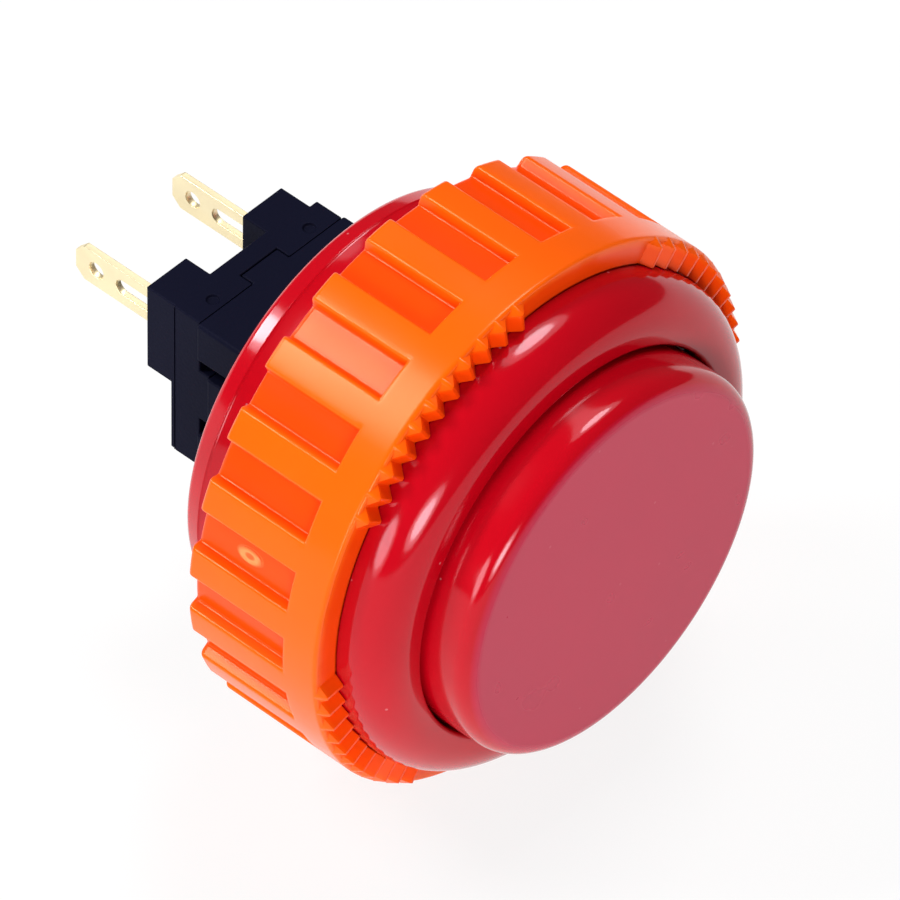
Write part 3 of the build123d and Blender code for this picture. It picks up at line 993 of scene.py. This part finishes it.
def coil_mesh(low, high, wire, turns):
    """A round wire spring that fills a box, with closed end turns."""
    middle = (low + high) / 2
    radius = (high.x - low.x) / 2 - wire
    steps_a_turn = 40
    steps = turns * steps_a_turn
    rise = high.z - low.z - 2 * wire
    sides = 12
    up = Vector((0, 0, 1))
    rings = []
    for k in range(steps + 1):
        turn = math.tau * k / steps_a_turn
        part = k / steps
        level = 3 * part**2 - 2 * part**3
        out = Vector((math.cos(turn), math.sin(turn), 0))
        centre = Vector((middle.x, middle.y, low.z + wire + rise * level)) + radius * out
        ring = []
        for side in range(sides):
            around = math.tau * side / sides
            ring.append(centre + wire * (math.cos(around) * out + math.sin(around) * up))
        rings.append(ring)
    mesh = bmesh.new()
    skin(mesh, rings)
    return mesh


class BUTTON_OT_springs(bpy.types.Operator):
    """Winds the return spring and the contact spring, and sets them on the housing and the actuator"""

    bl_idname = "push_button.springs"
    bl_label = "Springs"

    def execute(self, context):
        sizes = context.scene.switch_sizes
        mesh = coil_mesh(return_low, return_high, sizes.return_wire, sizes.return_turns)
        spring = dress(new_object("return_coil", mesh), "housing", "spring_steel", "return_spring")
        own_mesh(spring)
        mesh = coil_mesh(contact_low, contact_high, sizes.contact_wire, sizes.contact_turns)
        spring = dress(new_object("contact_coil", mesh), "actuator", "spring_steel", "contact_spring")
        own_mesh(spring)
        return {"FINISHED"}


def floor_direction(heading, elevation):
    """A direction over the floor, whose top faces -Y, from a turn off the plunger's axis and a height."""
    level = Vector((math.sin(heading), 0, math.cos(heading)))
    return math.cos(elevation) * level + math.sin(elevation) * FLOOR_UP


def facing(back, up):
    """Rotation whose +Z looks along back and whose +Y is as near to up as it can be."""
    right = up.cross(back).normalized()
    return Matrix((right, back.cross(right), back)).transposed()


class BUTTON_OT_stage(bpy.types.Operator):
    """Sets the floor, the soft lights and the camera"""

    bl_idname = "push_button.stage"
    bl_label = "Stage"

    # Each light's name, turn, height and roll in degrees, distance and two sizes in metres, and brightness
    lamps = (
        ("front_softbox", 42.0, 16.0, 0.0, 0.70, 0.40, 0.28, 3.6),
        ("front_core", 42.0, 16.0, 0.0, 0.68, 0.24, 0.17, 11.0),
        ("side_softbox", 96.0, 12.0, 0.0, 0.70, 0.36, 0.32, 1.7),
        ("side_core", 97.0, 13.0, 0.0, 0.68, 0.26, 0.26, 4.6),
        ("rear_softbox", 166.0, 22.0, 0.0, 0.70, 0.20, 0.17, 4.5),
        ("rear_core", 166.0, 22.0, 0.0, 0.68, 0.11, 0.12, 16.0),
        ("back_strip", 142.6, 48.2, -45.7, 0.70, 0.32, 0.08, 28.0),
        ("top_softbox", -108.0, 67.0, 0.0, 0.70, 0.46, 0.42, 1.8),
        ("top_core", -108.0, 67.0, 0.0, 0.68, 0.24, 0.24, 10.0),
    )

    def execute(self, context):
        stage = context.scene.stage_sizes
        context.scene.view_settings.view_transform = "Standard"
        self.make_floor(context, stage)
        self.make_world(context, stage)
        for name, heading, elevation, roll, distance, width, height, brightness in self.lamps:
            light = bpy.data.lights.new(name, "AREA")
            light.shape = "ELLIPSE"
            light.size = width
            light.size_y = height
            light.energy = brightness * math.pi * width * height
            lamp = bpy.data.objects.new(name, light)
            back = floor_direction(math.radians(heading), math.radians(elevation))
            turn = facing(back, FLOOR_UP) @ Matrix.Rotation(math.radians(roll), 3, "Z")
            lamp.matrix_world = Matrix.Translation(back * distance) @ turn.to_4x4()
            context.scene.collection.objects.link(lamp)
        self.make_camera(context, stage)
        return {"FINISHED"}

    def make_floor(self, context, stage):
        """A pale floor under the nut, which is seen from its upper side only."""
        mesh = bmesh.new()
        half = stage.floor_side / 2
        level = nut_high.y
        corners = ((-half, -half), (half, -half), (half, half), (-half, half))
        mesh.faces.new([mesh.verts.new((x, level, z)) for x, z in corners])
        data = bpy.data.meshes.new("floor")
        mesh.to_mesh(data)
        mesh.free()
        floor = bpy.data.objects.new("floor", data)
        context.scene.collection.objects.link(floor)
        finish = bpy.data.materials.new("floor")
        tree = emptied(finish)
        tone = (*context.scene.button_colours.floor, 1.0)
        matt = add_node(tree, "ShaderNodeBsdfDiffuse", {"Color": tone})
        glow = add_node(tree, "ShaderNodeEmission", {"Strength": 1.0})
        top = mixed(tree, maths(tree, "MULTIPLY", self.seen_rays(tree), stage.floor_glow), matt, glow)
        clear = add_node(tree, "ShaderNodeBsdfTransparent")
        side = add_node(tree, "ShaderNodeNewGeometry")
        whole = mixed(tree, side.outputs["Backfacing"], top, clear)
        add_node(tree, "ShaderNodeOutputMaterial", {"Surface": whole.outputs[0]})
        data.materials.append(finish)

    def seen_rays(self, tree):
        """One where the camera looks at the backdrop, straight on or in gloss and glass."""
        path = add_node(tree, "ShaderNodeLightPath").outputs
        gloss = maths(tree, "MAXIMUM", path["Is Glossy Ray"], path["Is Transmission Ray"])
        return maths(tree, "MAXIMUM", path["Is Camera Ray"], gloss)

    def make_world(self, context, stage):
        """Even light from all round."""
        world = bpy.data.worlds.new("studio")
        context.scene.world = world
        tree = emptied(world)
        light = add_node(tree, "ShaderNodeBackground", {"Color": (1, 1, 1, 1), "Strength": stage.fill})
        add_node(tree, "ShaderNodeOutputWorld", {"Surface": light.outputs[0]})

    def make_camera(self, context, stage):
        """The camera of the photograph, with the aimed point at its own pixel."""
        lens = bpy.data.cameras.new("camera")
        lens.lens = stage.lens
        lens.sensor_width = SENSOR_WIDTH
        pixels_a_unit = IMAGE_SIDE * stage.lens / SENSOR_WIDTH
        back = floor_direction(stage.heading, stage.elevation)
        level = facing(back, FLOOR_UP)
        turn = level @ Matrix.Rotation(stage.roll, 3, "Z")
        right, up, back = turn.transposed()
        aside = (stage.target_right - IMAGE_SIDE / 2) / pixels_a_unit
        below = (stage.target_down - IMAGE_SIDE / 2) / pixels_a_unit
        sight = (-back - aside * right + below * up).normalized()
        target = Vector((0, 0, stage.target_height))
        camera = bpy.data.objects.new("camera", lens)
        place = Matrix.Translation(target + back * stage.distance)
        camera.matrix_world = place @ facing(-sight, up).to_4x4()
        context.scene.collection.objects.link(camera)
        context.scene.camera = camera


class BUTTON_PT_panel(bpy.types.Panel):
    """Sidebar list of the button's pieces"""

    bl_label = "Arcade push button"
    bl_idname = "BUTTON_PT_panel"
    bl_space_type = "VIEW_3D"
    bl_region_type = "UI"
    bl_category = "Push button"

    def draw(self, context):
        for operator in operators:
            self.layout.operator(operator.bl_idname)
        for group in settings:
            values = getattr(context.scene, group)
            for key in values.__annotations__:
                self.layout.prop(values, key)


settings = {
    "housing_sizes": HousingSizes,
    "plunger_sizes": PlungerSizes,
    "nut_sizes": NutSizes,
    "switch_sizes": SwitchSizes,
    "button_colours": ButtonColours,
    "stage_sizes": StageSizes,
}
operators = (
    BUTTON_OT_housing,
    BUTTON_OT_plunger,
    BUTTON_OT_lock_nut,
    BUTTON_OT_switch_case,
    BUTTON_OT_terminals,
    BUTTON_OT_contacts,
    BUTTON_OT_springs,
    BUTTON_OT_stage,
)


def register():
    for made in (*settings.values(), *operators, BUTTON_PT_panel):
        bpy.utils.register_class(made)
    for name, group in settings.items():
        setattr(bpy.types.Scene, name, PointerProperty(type=group))


def unregister():
    for name in settings:
        delattr(bpy.types.Scene, name)
    for made in reversed((*settings.values(), *operators, BUTTON_PT_panel)):
        bpy.utils.unregister_class(made)


def main():
    register()
    bpy.ops.push_button.housing()
    bpy.ops.push_button.plunger()
    bpy.ops.push_button.lock_nut()
    bpy.ops.push_button.switch_case()
    bpy.ops.push_button.terminals()
    bpy.ops.push_button.contacts()
    bpy.ops.push_button.springs()
    bpy.ops.push_button.stage()


if __name__ == "__main__":
    main()
